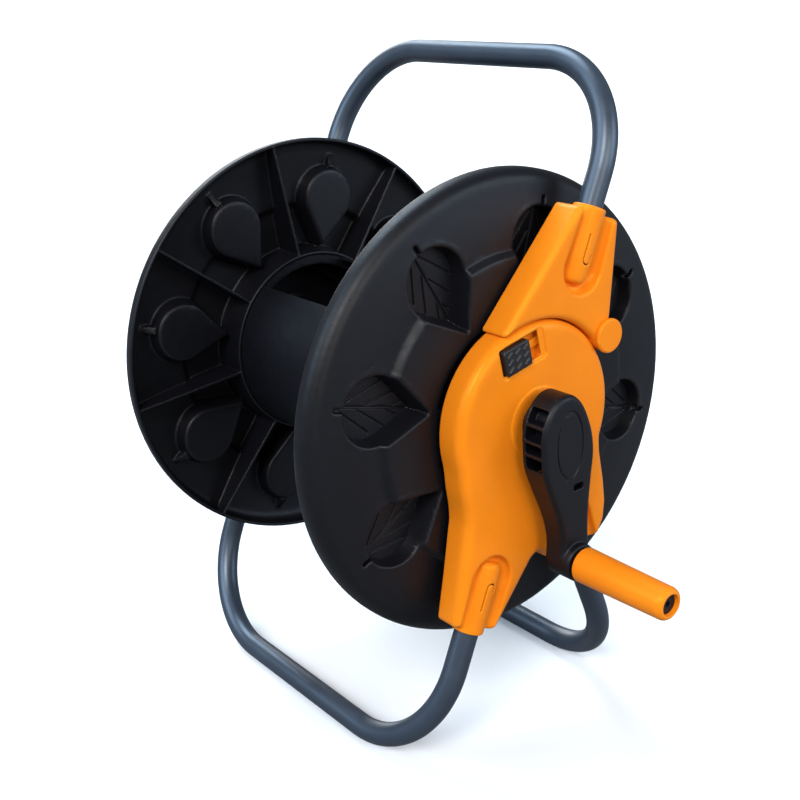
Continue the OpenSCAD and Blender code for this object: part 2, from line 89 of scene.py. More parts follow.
# ------------------------------------------------------------------ distance fields
def clamp(v, lo, hi):
    """v, kept between lo and hi."""
    return np.minimum(np.maximum(v, lo), hi)


def join(a, b, r=0.0):
    """Both bodies, with a fillet of radius r in the corner between them."""
    return np.maximum(r, np.minimum(a, b)) - np.hypot(np.maximum(r - a, 0), np.maximum(r - b, 0))


def meet(a, b, r=0.0):
    """What two bodies share, with the edge rounded to radius r."""
    return np.minimum(-r, np.maximum(a, b)) + np.hypot(np.maximum(a + r, 0), np.maximum(b + r, 0))


def cut(a, b, r=0.0):
    """The first body without the second, with the rim of the cut rounded to radius r."""
    return meet(a, -b, r)


def between(v, lo, hi):
    """Negative where v is between lo and hi."""
    return np.abs(v - (lo + hi) / 2) - (hi - lo) / 2


def block(x, y, x0, x1, y0, y1, r=0.0):
    """A rectangle with corners rounded to radius r."""
    dx, dy = between(x, x0 + r, x1 - r), between(y, y0 + r, y1 - r)
    return np.hypot(np.maximum(dx, 0), np.maximum(dy, 0)) + np.minimum(np.maximum(dx, dy), 0) - r


def stroke(x, y, points, width):
    """A line of that width through the points, with round ends."""
    best = 1e9
    for (ax, ay), (bx, by) in zip(points, points[1:]):
        ex, ey = bx - ax, by - ay
        t = clamp(((x - ax) * ex + (y - ay) * ey) / (ex * ex + ey * ey), 0, 1)
        best = np.minimum(best, np.hypot(x - ax - ex * t, y - ay - ey * t))
    return best - width / 2


def turned(x, y, degrees):
    """Coordinates along and across a direction at that angle."""
    c, s = math.cos(math.radians(degrees)), math.sin(math.radians(degrees))
    return x * c + y * s, -x * s + y * c


def polygon(points):
    """The distance function of a closed outline, negative inside."""
    p = np.array(points, float)

    def distance(x, y):
        best = np.full(np.broadcast(x, y).shape, 1e9)
        inside = np.zeros(best.shape, bool)
        for a, b in zip(p, np.roll(p, -1, 0)):
            ex, ey = b - a
            wx, wy = x - a[0], y - a[1]
            t = clamp((wx * ex + wy * ey) / max(ex * ex + ey * ey, 1e-12), 0, 1)
            best = np.minimum(best, (wx - ex * t) ** 2 + (wy - ey * t) ** 2)
            if abs(ey) > 1e-9:
                inside ^= ((a[1] > y) != (b[1] > y)) & (wx < ex * (y - a[1]) / ey)
        return np.where(inside, -1, 1) * np.sqrt(best)

    return distance


def rounded(corners, steps=8):
    """Outline points for corners (x, y, radius), each replaced by an arc."""
    out = []
    count = len(corners)
    for i, (x, y, r) in enumerate(corners):
        here = np.array((x, y), float)
        before = np.array(corners[i - 1][:2], float) - here
        after = np.array(corners[(i + 1) % count][:2], float) - here
        lb, la = np.linalg.norm(before), np.linalg.norm(after)
        before, after = before / lb, after / la
        half = math.acos(max(-1, min(1, float(before @ after)))) / 2
        if r <= 0 or half < 0.02 or half > math.pi / 2 - 0.02:
            out.append(tuple(here))
            continue
        reach = min(r / math.tan(half), 0.48 * lb, 0.48 * la)
        r = reach * math.tan(half)
        bisector = before + after
        centre = here + bisector / np.linalg.norm(bisector) * (r / math.sin(half))
        start, end = here + before * reach - centre, here + after * reach - centre
        a0 = math.atan2(start[1], start[0])
        turn = (math.atan2(end[1], end[0]) - a0 + math.pi) % (2 * math.pi) - math.pi
        for k in range(steps + 1):
            a = a0 + turn * k / steps
            out.append((centre[0] + r * math.cos(a), centre[1] + r * math.sin(a)))
    return out


def curve_through(points, steps=6):
    """A smooth closed curve through the points."""
    p = np.array(points, float)
    out = []
    for i in range(len(p)):
        a, b, c, d = p[i - 1], p[i], p[(i + 1) % len(p)], p[(i + 2) % len(p)]
        for k in range(steps):
            t = k / steps
            out.append(0.5 * (2 * b + (c - a) * t + (2 * a - 5 * b + 4 * c - d) * t ** 2
                              + (3 * b - a - 3 * c + d) * t ** 3))
    return out


class Table:
    """A distance over two coordinates, worked out once on a fine grid and then looked up."""

    def __init__(self, distance, lo, hi, step=0.4):
        self.lo, self.step = lo, step
        a = np.arange(lo[0], hi[0] + step, step)[:, None]
        b = np.arange(lo[1], hi[1] + step, step)[None, :]
        self.values = distance(a, b).astype(np.float32)

    def __call__(self, a, b):
        v = self.values
        a = clamp((a - self.lo[0]) / self.step, 0, v.shape[0] - 1.001)
        b = clamp((b - self.lo[1]) / self.step, 0, v.shape[1] - 1.001)
        i, j = a.astype(np.int32), b.astype(np.int32)
        s, t = (a - i).astype(np.float32), (b - j).astype(np.float32)
        near = v[i, j] * (1 - s) + v[i + 1, j] * s
        far = v[i, j + 1] * (1 - s) + v[i + 1, j + 1] * s
        return near * (1 - t) + far * t


# ------------------------------------------------------------------ meshes
def front(p):
    """From the front side's own frame to the model's, still in millimetres."""
    return np.stack([p[:, 0], FRONT_RIM - p[:, 2], AXIS_Z + p[:, 1]], 1)


def rear(p):
    """The same for the rear side, which is the front side's mirror image."""
    return np.stack([p[:, 0], REAR_RIM + p[:, 2], AXIS_Z + p[:, 1]], 1)


SIDES = (("front", front), ("rear", rear))


def build_mesh(name, points, faces):
    """A mesh from points in millimetres and lists of faces, each list of one corner count."""
    mesh = bpy.data.meshes.new(name)
    sizes = np.concatenate([np.full(len(f), len(f[0]), np.int32) for f in faces if len(f)])
    corners = np.concatenate([np.asarray(f, np.int32).ravel() for f in faces if len(f)])
    mesh.vertices.add(len(points))
    mesh.vertices.foreach_set("co", (np.asarray(points) / 1000).astype(np.float32).ravel())
    mesh.loops.add(len(corners))
    mesh.loops.foreach_set("vertex_index", corners)
    mesh.polygons.add(len(sizes))
    starts = np.concatenate([[0], np.cumsum(sizes)[:-1]]).astype(np.int32)
    mesh.polygons.foreach_set("loop_start", starts)
    mesh.update(calc_edges=True)
    mesh.validate()
    return mesh


def volume(points, faces):
    """Six times the volume inside the faces, negative if they are turned inwards."""
    total = 0.0
    for f in faces:
        f = np.asarray(f)
        if len(f):
            for k in range(1, f.shape[1] - 1):
                a, b, c = points[f[:, 0]], points[f[:, k]], points[f[:, k + 1]]
                total += float(np.einsum("ij,ij->i", a, np.cross(b, c)).sum())
    return total


def outwards(points, faces):
    """The faces, all flipped if they are turned inwards."""
    if volume(points - points.mean(0), faces) < 0:
        return [np.asarray(f)[:, ::-1] for f in faces if len(f)]
    return [np.asarray(f) for f in faces if len(f)]


def surface(field, lo, hi, step, adaptivity=0.05):
    """Points and faces of a field's zero surface inside the box lo to hi."""
    band = 3 * step
    lo = np.array(lo, float) - 2.3 * step
    n = np.ceil((np.array(hi, float) - lo) / step).astype(int) + 4
    axes = [(lo[i] + step * np.arange(n[i])).astype(np.float32) for i in range(3)]
    d = field(axes[0][:, None, None], axes[1][None, :, None], axes[2][None, None, :])
    d = np.array(np.broadcast_to(clamp(d, -band, band), tuple(n)), dtype=np.float64, order="C")
    grid = openvdb.FloatGrid()
    grid.background = band
    grid.copyFromArray(d)
    points, triangles, quads = grid.convertToPolygons(0.0, adaptivity)
    p = points.astype(np.float64) * step + lo
    h = 0.15 * step
    for _ in range(3):  # moves each point onto the exact surface, down the field's slope
        value = field(*p.T)
        slope = np.stack([field(*(p + e).T) - field(*(p - e).T) for e in h * np.eye(3)], 1) / (2 * h)
        size = np.maximum((slope ** 2).sum(1), 0.25)
        move = slope * (clamp(value, -step, step) / size)[:, None]
        p -= clamp(move, -0.4 * step, 0.4 * step)
    return p, [triangles, quads]


def show(name, points, faces, body, finish, replaces, angle=None):
    """Adds a piece that rides on a body and replaces its CAD nodes, with edges sharp from an angle."""
    faces = outwards(points, faces)
    mesh = build_mesh(name, points, faces)
    obj = bpy.data.objects.new(name, mesh)
    bpy.context.scene.collection.objects.link(obj)
    mesh.materials.append(finish)
    mesh.shade_smooth()
    if angle:
        mesh.set_sharp_from_angle(angle=math.radians(angle))
    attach(obj, body)
    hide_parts(*replaces)
    return obj


def merged(*parts):
    """Several (points, faces) as one."""
    points, faces, start = [], [], 0
    for p, fs in parts:
        points.append(p)
        faces += [np.asarray(f) + start for f in fs if len(f)]
        start += len(p)
    return np.concatenate(points), faces


def grid_faces(rows, columns, closed_rows=False):
    """Quads between closed rings of points, and from the last ring to the first if closed_rows."""
    out = []
    for i in range(rows if closed_rows else rows - 1):
        a, b = i * columns, ((i + 1) % rows) * columns
        for k in range(columns):
            m = (k + 1) % columns
            out.append((a + k, a + m, b + m, b + k))
    return np.array(out)


def lathe(profile, segments=96):
    """A closed (r, z) outline turned about the z axis."""
    angles = np.linspace(0, 2 * math.pi, segments, endpoint=False)
    rings = [np.stack([r * np.cos(angles), r * np.sin(angles), np.full(segments, z)], 1)
             for r, z in profile]
    return np.concatenate(rings), [grid_faces(len(profile), segments, True)]


# ------------------------------------------------------------------ flanges
def arc(cx, cz, r, a0, a1, steps=8):
    """Points on a circle from angle a0 to a1, in degrees."""
    return [(cx + r * math.cos(math.radians(a0 + (a1 - a0) * k / steps)),
             cz + r * math.sin(math.radians(a0 + (a1 - a0) * k / steps))) for k in range(steps + 1)]


def face_line(t):
    """The disc's outer face from skirt to middle, moved in by t."""
    skirt = arc(178, -7.6, 12 - t, 0, 84)
    dome = [(178 - s * 48, 4.4 + 3.9 * math.sin(s * math.pi / 2) - t)
            for s in np.linspace(0.08, 0.98, 10)]
    step = [(130.2, 8.3 - t), (129, 8.7 - t), (125.2, 12.8 - t), (124.2, 13.35 - t), (123, PLATEAU - t)]
    return skirt + dome + step


def section(points, step=0.25):
    """The distance to an outline of (r, z) points in a cut through the flange."""
    return Table(polygon(points), (0, -30), (200, 22), step)


DISC = section([(FLANGE_R - 0.6, -13), (FLANGE_R, -12.4)] + face_line(0)
               + [(13.4, PLATEAU), (13.4, 8.5), (40, 8.5), (40, 10.5)]
               + face_line(3)[::-1] + [(187, -12.6), (187.4, -13)])
UNDER = section([(0, -60), (FLANGE_R - 0.5, -60)] + face_line(0.5) + [(0, 13)])
RIB = section([(84.5, -21), (188, -12.6), (188, -2), (174, 4), (125, 9.5), (84.5, 11.5)], 0.5)
COLLAR = section([(83.6, -22), (86.1, -22), (88.5, 11.5), (83.6, 11.5)])
SHELF = section([(74, -21), (84.5, -21), (84.5, -18), (74, -18)])
LEAF_TIP, LEAF_AT, LEAF_R = 86, 136, 28.5  # the leaf's point, and its round end's centre and radius


def leaf_outline():
    touch = math.acos(LEAF_R / (LEAF_AT - LEAF_TIP))
    ring = [(LEAF_AT - LEAF_R * math.cos(a), LEAF_R * math.sin(a), 0)
            for a in np.linspace(touch, 2 * math.pi - touch, 72)]
    return rounded([(LEAF_TIP, 0, 2.5)] + ring)


LEAF = Table(polygon(leaf_outline()), (60, -60), (200, 60), 0.4)
SECTOR = 2 * math.pi / LEAVES


def fold(x, y, phase):
    """The radius, and the coordinates along and across the nearest of the flange's equal sectors."""
    r = np.hypot(x, y)
    a = np.arctan2(y, x) - math.radians(phase)
    a = (a + SECTOR / 2) % SECTOR - SECTOR / 2
    return r, r * np.cos(a), r * np.sin(a)


def flange_field(x, y, z):
    """A flange: a disc with drafted leaf recesses, and their cups, ribs and a collar on its inside."""
    r, u, v = fold(x, y, LEAF_PHASE)
    under = UNDER(r, z)
    draft = LEAF(u, v) + 4.5 * clamp((PLATEAU - z) / 18, 0, 1.3)
    cup = meet(draft - 2.8, -9.2 - z, 2)
    cup = np.maximum(np.maximum(cup, under), BARREL_R + 0.4 - r)
    body = join(DISC(r, z), cup, 1.5)
    _, _, rib_v = fold(x, y, LEAF_PHASE + 180 / LEAVES)
    body = join(body, np.maximum(np.maximum(RIB(r, z), np.abs(rib_v) - 1.15), under), 1.0)
    body = join(body, np.minimum(COLLAR(r, z), SHELF(r, z)), 0.8)
    # the notch for the leaf's stem, and the fin that covers it on the inside
    recess = meet(draft, -6.2 - z, 1.0)
    stem = np.maximum(meet(between(u, 158, 170.5), np.abs(v) - 1.8, 1.5), 0.6 - z)
    rise = (u - 160) / 16
    fin = np.maximum(-10 + 11.5 * rise - z, between(u, 163.5, 175))
    fin = np.maximum(np.abs(v) - 4 + 1.6 * clamp(rise, 0, 1), fin)
    stem_cup = np.maximum(fin * 0.8, under)
    body = cut(join(body, stem_cup, 1.0), join(recess, stem, 0.6), 1.3)
    # four curved slots in a ring round the middle
    a = np.degrees(np.arctan2(y, x))
    along = np.abs(a % 90 - 45) - 29
    slot = meet(between(r, 68, 79.5), along * math.radians(1) * r, 2)
    ring = np.maximum(between(r, 66.5, 80.8), between(z, 6, 11.6))
    body = np.minimum(body, ring)
    return cut(body, np.maximum(slot, PLATEAU - 6 - z), 0.8)


# the leaf's midrib, and the veins on each side of it
VEINS = [[(161, 0), (92, 0)],
         [(157, 4), (129, 19)], [(141.5, 2), (115, 14)], [(115, 1.5), (101, 7)],
         [(157, -3), (125, -21)], [(135, -2), (110, -14)], [(110, -2), (99, -7.5)]]


def leaf_field(x, y, z):
    """The leaf's blade, with its veins cut in."""
    blade = np.maximum(LEAF(x, y) + 3.6, between(z, -7.6, -4.6))
    veins = 1e9
    for line in VEINS:
        veins = np.minimum(veins, stroke(x, y, line, 1.5))
    return cut(blade, meet(veins, -5.9 - z, 0.2), 0.35)


# ------------------------------------------------------------------ side frames
# Each leg's outline runs well into the other leg and the round middle, so that their union has no dent.
# The left leg's is along and across the leg, and the right leg's is in x and y.
LEFT_LEG = rounded([(172, 22, 5), (133, 30.5, 30), (100, 38.5, 30), (60, 47.5, 20), (20, 20, 0),
                    (20, -60, 0), (55.6, -88, 0), (104.4, -43.2, 0), (172, -23, 5)])
RIGHT_LEG = rounded([(0, -113, 0), (17, -125, 10), (74, -122, 6), (81, -108, 8), (82.5, -92, 12),
                     (80, -72, 20), (72.5, -35, 20), (20, 0, 0), (-40, -50, 0), (-50, -100, 0)])
LEG_RUN, LEG_DROP = math.cos(math.radians(LEG_ANGLE)), math.sin(math.radians(LEG_ANGLE))


def left_leg_frame(x, y):
    """Along the left leg, and across it towards its outer side."""
    return -x * LEG_RUN - y * LEG_DROP, -x * LEG_DROP + y * LEG_RUN


def right_leg_frame(x, y):
    """Along the right leg, and across it towards its inner side."""
    return x * LEG_RUN - y * LEG_DROP, -x * LEG_DROP - y * LEG_RUN


def handle_frame(x, y):
    """Along the handle's arms, and across them to the left."""
    return turned(x, y, HANDLE_ANGLE)


def frame_outline(x, y):
    left = polygon(LEFT_LEG)(*left_leg_frame(x, y))
    right = polygon(RIGHT_LEG)(x, y)
    return join(join(np.hypot(x, y) - BODY_R, left, 22), right, 6)


OUTLINE = Table(frame_outline, (-130, -180), (110, 100), 0.4)


def pocket_line(u, v, start):
    """Distance to a U-shaped pocket that begins at u = start and opens along +u, narrowing a little."""
    half_width = 20.5
    past = u - start - half_width
    return np.hypot(np.minimum(past, 0), v) - half_width + 0.07 * np.maximum(past, 0)


def add_socket(body, skin, u, v, z, start, end, pocket):
    """Sinks a pocket into the body, from u = pocket, and stands a tube's socket in it from start to end."""
    d = pocket_line(u, v, pocket)
    body = np.minimum(body, np.maximum(meet(d - 3, TUBE_Z - z, 2), skin))
    floor = 34 + 2.5 * clamp((u - start - 14) / 40, 0, 1)
    body = cut(body, meet(d, floor - z, 5), 2.4)
    tube = np.hypot(v, z - TUBE_Z)
    taper = 13 - 1.3 * clamp((start + 24 - u) / 18, 0, 1) ** 1.5
    socket = meet(tube - taper, start + 3.4 - u, 4.5)
    body = join(body, meet(socket, u - end - 3.5, 1.6), 2.0)
    body = cut(body, np.maximum(tube - TUBE_R - GAP, start + 6 - u), 0.7)
    # the slit round the snap tongue
    reach = 3.6
    hook = [(start + 23 - reach * math.sin(t), reach * math.cos(t)) for t in np.linspace(0, math.pi, 9)]
    slit = stroke(u, v, [(start + 42, reach), *hook, (start + 27, -reach)], 1.2)
    return cut(body, np.maximum(slit, 40.3 - z), 0.3)


def add_latch_housing(body, skin, x, y, z):
    """The button's slot in a shallow recess, over a tray with a rail that carries the button."""
    tray_back, tray_floor = 31, 33.2
    lx, ly = turned(x - LATCH[0], y - LATCH[1], LATCH_ANGLE)
    housing = block(lx, ly, -17.7, 31, -15, 14, 3)
    tray = np.maximum(housing, between(z, tray_back, tray_floor))
    wall = np.maximum(housing, -block(lx, ly, -16.2, 29.5, -13.5, 12.5, 2))
    box = np.minimum(tray, np.maximum(wall, between(z, tray_back, 40)))
    rail = meet(block(lx, ly, -17, 30, -4.2, 2.6, 0.5), between(z, 32, 35.6), 0.5)
    room = np.maximum(np.maximum(housing, z - 39.2), skin + 2.5)
    body = np.maximum(body, -np.maximum(room, tray_floor - z))
    body = np.minimum(body, np.maximum(np.minimum(box, rail), skin + 0.6))
    recess = block(lx, ly, -14.8, 31.5, -12.6, 12.1, 3)
    body = cut(body, meet(recess, 40.7 - z, 0.4), 0.7)
    slot = block(lx, ly, -13.7, 26.3, -10.9, 10.9, 1.5)
    return cut(body, np.maximum(slot, 36 - z), 0.5)


def frame_field(x, y, z, back=False):
    """A side frame: a hollow shell with a ribbed hub, an ear for the hinge and two leg sockets."""
    d = OUTLINE(x, y)
    r = np.hypot(x, y)
    skin = meet(meet(d, z - FRAME_FACE, 8), FRAME_BACK - z, 0.6)
    body = cut(skin, meet(d + 3, z - FRAME_FACE + 3, 5.5), 0.6)
    hub = np.maximum(r - 24, between(z, FRAME_BACK, FRAME_FACE - 1))
    a = np.arctan2(y, x) % (math.pi / 3) - math.pi / 6
    web = np.maximum(np.abs(r * np.sin(a)) - 1.2, between(r, 20, BODY_R - 2))
    web = np.maximum(web, between(z, FRAME_BACK + 3, FRAME_FACE - 1))
    body = np.minimum(body, np.minimum(hub, np.maximum(web, skin + 0.8)))
    # the ear under the handle bracket's knuckle
    hinge = np.hypot(x - HINGE[0], y - HINGE[1])
    eu, ev = turned(x, y, 36)
    ear = np.minimum(hinge - 12.5, np.maximum(between(eu, 62, 90), np.abs(ev) - 6))
    ear = np.maximum(meet(ear, z - 30, 0.6), FRAME_BACK - z)
    body = join(body, np.maximum(ear, 60 - r), 1.0)
    body = add_socket(body, skin, *left_leg_frame(x, y), z, start=113, end=172, pocket=110)
    body = add_socket(body, skin, *right_leg_frame(x, y), z, start=88, end=131, pocket=86)
    body = cut(body, np.maximum(hinge - 13.6, 30 - z), 0.5)
    body = np.maximum(body, HINGE_PIN_R + 0.01 - hinge)
    if back:
        return cut(body, r - 13.1, 0.6)
    # the raised disc round the crank's hub, and the bush's hole
    body = join(body, meet(r - 28, between(z, 38, 42.6), 0.5), 1.2)
    body = cut(body, r - 17.01, 0.6)
    return add_latch_housing(body, skin, x, y, z)


# ------------------------------------------------------------------ handle brackets
# the outline, along and across the handle's arm
BRACKET = rounded([(166, 22, 4), (57, 61.4, 6), (30, 40, 0), (55, -44, 2), (82.6, -46.6, 2),
                   (94, -47, 8), (166, -24.5, 4)])


def bracket_outline(x, y):
    return meet(polygon(BRACKET)(*handle_frame(x, y)), BODY_R + 0.8 - np.hypot(x, y), 3)


BRACKET_LINE = Table(bracket_outline, (-60, 10), (120, 190), 0.4)


def bracket_field(x, y, z):
    """A handle bracket: a hollow shell with the handle's socket, and a knuckle over the frame's ear."""
    d = BRACKET_LINE(x, y)
    hinge = np.hypot(x - HINGE[0], y - HINGE[1])
    knuckle = meet(hinge - 13, z - BRACKET_FACE, 1.2)
    skin = meet(meet(d, z - BRACKET_FACE, 5), BRACKET_BACK - z, 0.6)
    body = cut(skin, meet(d + 3, z - BRACKET_FACE + 3, 3), 0.6)
    side = np.maximum(between(z, BRACKET_BACK + 0.5, BRACKET_FACE - 3), skin)
    body = np.minimum(body, np.maximum(np.abs(d + 1.5) - 1.5, side))
    body = np.maximum(join(body, knuckle, 1.5), BRACKET_BACK - z)
    body = add_socket(body, skin, *handle_frame(x, y), z, start=106, end=166, pocket=102)
    body = np.maximum(body, -np.maximum(hinge - 13.7, z - 30.3))
    return np.maximum(body, HINGE_PIN_R + GAP - hinge)


# ------------------------------------------------------------------ crank
ARM = curve_through([(2.2, 29.4), (10.3, 25.4), (17.7, 16.8), (24.5, 2.2), (28.1, -11.1),
                     (29.1, -25.3), (27.3, -41.6), (25.8, -59.6), (25.1, -75.2), (25.5, -89.8),
                     (26.8, -101.4), (26.2, -113), (21, -122.5), (11, -126.6), (2, -123),
                     (-2.4, -116), (-3.2, -106), (-2.8, -92.3), (-7, -73.3), (-16.2, -50.6),
                     (-24.5, -28.7), (-26.2, -11.8), (-26.3, 1.8), (-22, 15), (-15, 24), (-7, 28.8)])
ARM_LINE = Table(polygon(ARM), (-40, -140), (45, 45), 0.3)


def crank_field(x, y, z):
    """The crank arm: a hollow shell with a rear wall, hub and grip boss, open on its left side."""
    d = ARM_LINE(x, y)
    crown = ARM_FACE - 1.6 * clamp((-y - 20) / 100, 0, 1) ** 2
    back = 51.5 + 3 * clamp((-y - 34) / 70, 0, 1)
    skin = meet(meet(d, z - crown, 4.2), back - z, 0.8)
    body = cut(skin, meet(d + 2.5, z - ARM_FACE + 3, 1.5), 0.4)
    rear_wall = np.maximum(np.maximum(d + 1, -34 - y), between(z, 52, 54.2))
    body = np.minimum(body, rear_wall)
    u, v = turned(x, y, CRANK_ANGLE)
    web = np.maximum(np.maximum(np.abs(v) - 1.2, between(u, 12, 110)), between(z, 59, ARM_FACE - 2))
    body = np.minimum(body, web)
    r = np.hypot(x, y)
    body = join(body, meet(r - 18, between(z, 47, ARM_FACE - 2), 0.8), 0.8)
    grip = np.hypot(x - GRIP[0], y - GRIP[1])
    body = join(body, meet(grip - 15.4, between(z, 55, 80), 1.8), 1.2)
    # four openings in the left side, with ribs between them
    ribs = 1e9
    for at in (8, -5.2, -16.2):
        rib = np.maximum(block(x, y, -25.5, -9, at - 1.3, at + 1.3), between(z, 53, 72.5))
        ribs = np.minimum(ribs, rib)
    body = np.minimum(body, np.maximum(ribs, skin))
    holes = 1e9
    for y0, y1 in ((9.3, 20.5), (-3.9, 6.7), (-14.9, -6.5), (-28, -17.5)):
        hole = np.maximum(between(x, -40, -14.5), block(y, z, y0, y1, 54.4, 71.4, 1.2))
        holes = np.minimum(holes, hole)
    body = cut(body, holes, 0.7)
    # an oval line with two gaps, sunk in the face
    across, up = (x - 1.5) / 13.5, (y + 11) / 27
    line = np.abs(np.hypot(across, up) - 1) * 15.5 - 0.75
    a = np.degrees(np.arctan2(up, across))
    breaks = np.minimum(np.abs(a - 128) - 16, np.abs(a + 88) - 14)
    line = np.maximum(line, -breaks * 0.3)
    body = cut(body, np.maximum(line, ARM_FACE - 0.9 - z), 0.3)
    # the snap's hole and its floor
    body = cut(body, meet(block(x, y, 6, 16.5, -50, -44.5, 1.2), 70 - z, 0.2), 0.5)
    snap_floor = np.maximum(block(x, y, 3, 19.5, -53, -41.5, 1), between(z, 66.5, 68.5))
    body = np.minimum(body, snap_floor)
    # holes for the shaft's square end, the crank bolt and the grip's pin
    body = np.maximum(body, -np.maximum(block(x, y, -8.1, 8.1, -8.1, 8.1), z - 63.3))
    body = np.maximum(body, -np.maximum(r - 2.8, z - 71.5))
    return np.maximum(body, GRIP_PIN_R + 0.01 - grip)


# ------------------------------------------------------------------ latch button
def button_field(x, y, z):
    """The button, on a wider foot under the frame's face, with nine slanting ridges for the thumb."""
    top = meet(block(x, y, -13.2, 13.2, -10.5, 10.5, 2.2), between(z, 36.2, 45), 1.0)
    foot = np.maximum(block(x, y, -15.2, 15.2, -12.5, 8.5, 2), between(z, 36.1, 38.4))
    body = np.minimum(top, foot)
    for i in (-1, 0, 1):
        for j in (-1, 0, 1):
            cx, cy = i * 8.2 + 0.4 * j, j * 6
            line = stroke(x, y, [(cx - 2.0, cy - 1.2), (cx + 2.0, cy + 1.2)], 0.0)
            body = join(body, np.hypot(line, z - 45.2) - 0.8, 0.3)
    return body


# ------------------------------------------------------------------ finishes
def plain_nodes(name, colour, roughness):
    """A material with one shader, its node tree and that shader."""
    finish = bpy.data.materials.new(name)
    finish.use_nodes = True
    tree = finish.node_tree
    shader = tree.nodes["Principled BSDF"]
    shader.inputs["Base Color"].default_value = (*colour, 1)
    shader.inputs["Roughness"].default_value = roughness
    return finish, tree, shader


def noise(tree, place, scale, detail, stretch=None):
    """Noise in the piece's own coordinates, squeezed by a factor along each axis if stretch is given."""
    source = place.outputs["Object"]
    if stretch:
        mapping = tree.nodes.new("ShaderNodeMapping")
        mapping.inputs["Scale"].default_value = stretch
        tree.links.new(source, mapping.inputs["Vector"])
        source = mapping.outputs["Vector"]
    node = tree.nodes.new("ShaderNodeTexNoise")
    node.inputs["Scale"].default_value = scale
    node.inputs["Detail"].default_value = detail
    tree.links.new(source, node.inputs["Vector"])
    return node.outputs["Fac"]


def spread(tree, value, lo, hi, from_lo=0.3, from_hi=0.7):
    """A value mapped to lo to hi. The usual range it comes from is a noise's."""
    node = tree.nodes.new("ShaderNodeMapRange")
    for key, v in (("From Min", from_lo), ("From Max", from_hi), ("To Min", lo), ("To Max", hi)):
        node.inputs[key].default_value = v
    tree.links.new(value, node.inputs["Value"])
    return node.outputs["Result"]


def blend_colours(tree, share, a, b):
    """Colour a where share is 0 and b where it is 1. Either may be another node's output."""
    first, second, result = 6, 7, 2  # the Mix node's sockets for colours
    node = tree.nodes.new("ShaderNodeMix")
    node.data_type = "RGBA"
    tree.links.new(share, node.inputs["Factor"])
    for key, v in ((first, a), (second, b)):
        if isinstance(v, bpy.types.NodeSocket):
            tree.links.new(v, node.inputs[key])
        else:
            node.inputs[key].default_value = (*v, 1)
    return node.outputs[result]


def bump(tree, height, distance, strength, under=None):
    """A bump of that depth in metres, on top of another one."""
    node = tree.nodes.new("ShaderNodeBump")
    node.inputs["Distance"].default_value = distance
    node.inputs["Strength"].default_value = strength
    tree.links.new(height, node.inputs["Height"])
    if under is not None:
        tree.links.new(under, node.inputs["Normal"])
    return node.outputs["Normal"]


def moulded(name, colour, edge, rough, grain, grain_depth, wave_depth):
    """Moulded plastic: fine grain, faint sink marks, scuffed patches, and paler edges that are partly wear and
    partly a painted highlight.
    """
    finish, tree, shader = plain_nodes(name, colour, sum(rough) / 2)
    place = tree.nodes.new("ShaderNodeTexCoord")
    patches = noise(tree, place, 14, 4)
    fine = noise(tree, place, grain, 2)
    scuffs = noise(tree, place, 160, 6)
    shade = tuple(c * 0.86 for c in colour)
    base = blend_colours(tree, spread(tree, patches, 0, 1), shade, colour)
    # paler colour on sharp edges, from the mesh's pointiness: partly wear, partly a painted highlight along bevels
    # and ridges
    shape = tree.nodes.new("ShaderNodeNewGeometry")
    edge_wear_and_highlight = spread(tree, shape.outputs["Pointiness"], 0, 0.55, 0.52, 0.60)
    base = blend_colours(tree, edge_wear_and_highlight, base, edge)
    tree.links.new(base, shader.inputs["Base Color"])
    # the roughness follows half the scuffs and half the grain
    mixed = tree.nodes.new("ShaderNodeMath")
    mixed.operation = "MULTIPLY_ADD"
    mixed.inputs[1].default_value = 0.5
    tree.links.new(scuffs, mixed.inputs[0])
    half = tree.nodes.new("ShaderNodeMath")
    half.operation = "MULTIPLY"
    half.inputs[1].default_value = 0.5
    tree.links.new(fine, half.inputs[0])
    tree.links.new(half.outputs[0], mixed.inputs[2])
    tree.links.new(spread(tree, mixed.outputs[0], *rough), shader.inputs["Roughness"])
    waves = bump(tree, noise(tree, place, 45, 1), wave_depth, 0.6)
    tree.links.new(bump(tree, fine, grain_depth, 0.7, waves), shader.inputs["Normal"])
    return finish, shader


# the paler, yellower edge colour is a painted highlight on the rounded rims and bevels
ORANGE, shader = moulded("orange_moulded", colour=(0.89, 0.236, 0.009), edge=(0.90, 0.42, 0.035),
                         rough=(0.28, 0.40), grain=900, grain_depth=0.00004, wave_depth=0.00025)
shader.inputs["Specular IOR Level"].default_value = 0.35
shader.inputs["Specular Tint"].default_value = (0.6, 0.9, 0.15, 1)
shader.inputs["Subsurface Weight"].default_value = 0.08
shader.inputs["Subsurface Radius"].default_value = (0.004, 0.0015, 0.0005)
BLACK, shader = moulded("black_moulded", colour=(0.0036, 0.0037, 0.0056), edge=(0.007, 0.0073, 0.0095),
                        rough=(0.38, 0.50), grain=1300, grain_depth=0.00006, wave_depth=0.00012)
shader.inputs["Specular IOR Level"].default_value = 0.27
# the far paler edge colour is a painted highlight on the ridges' crests
BUTTON, shader = moulded("button_moulded", colour=(0.0095, 0.0085, 0.0095), edge=(0.13, 0.13, 0.14),
                         rough=(0.32, 0.45), grain=1300, grain_depth=0.00006, wave_depth=0.00012)
shader.inputs["Specular IOR Level"].default_value = 0.4
RUBBER, _ = moulded("seal_moulded", colour=(0.012, 0.012, 0.012), edge=(0.02, 0.02, 0.02),
                    rough=(0.5, 0.7), grain=1500, grain_depth=0.00004, wave_depth=0.0001)


